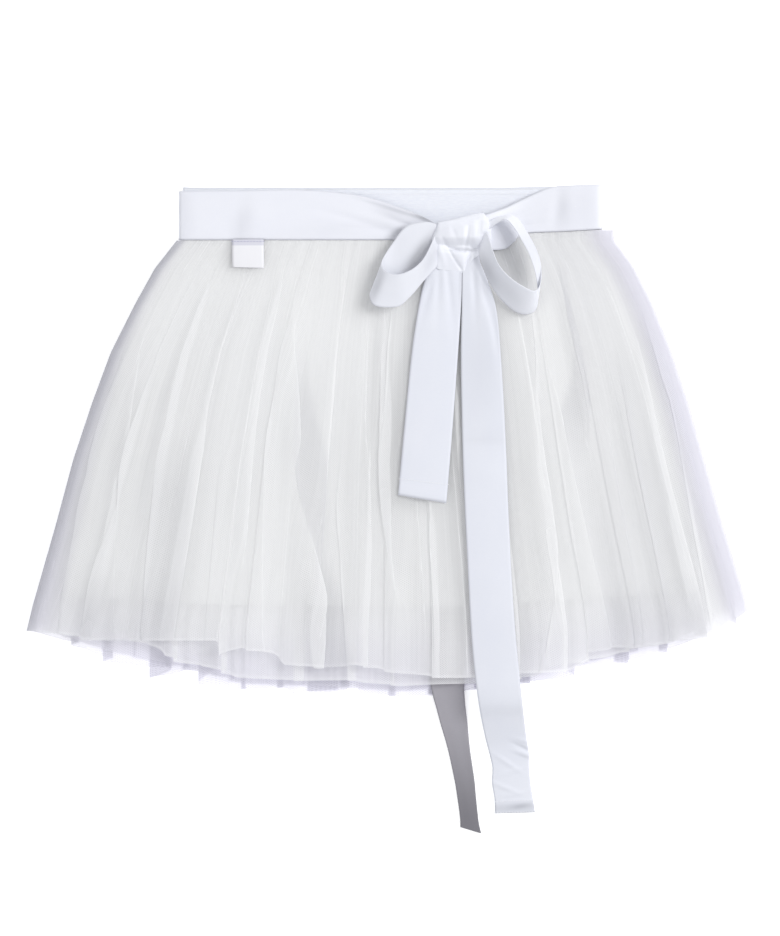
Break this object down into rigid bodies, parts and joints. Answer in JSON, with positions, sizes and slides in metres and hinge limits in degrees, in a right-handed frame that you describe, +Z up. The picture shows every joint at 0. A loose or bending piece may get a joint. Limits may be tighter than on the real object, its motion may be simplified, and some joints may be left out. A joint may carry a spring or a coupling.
{
  "type": "layered tulle skirt with ribbon sash",
  "caption": "White layered tulle skirt laid flat, with an opaque lining, a narrow waistband and a ribbon sash tied in a bow with hanging ends.",
  "frame": {"origin": "middle of the skirt's outline, on the surface it lies on", "axes": "+X to the right and +Y towards the waist as the skirt lies front up, +Z up from the surface"},
  "size_m": [0.5939, 0.5326, 0.0335],
  "materials": {
    "tulle": "matte net",
    "lining": "soft satin",
    "waistband": "matte",
    "ribbon": "satin",
    "grey_ribbon": "satin",
    "label": "woven"
  },
  "bodies": {
    "root": {"tulle_outer": "tulle", "tulle_under": "tulle", "lining": "lining", "waistband": "waistband", "sash": "ribbon", "knot": "ribbon", "loop_left": "ribbon", "loop_right": "ribbon", "tail_short": "ribbon", "tail_long": "ribbon", "tie_under": "grey_ribbon", "label": "label"}
  },
  "joints": []
}
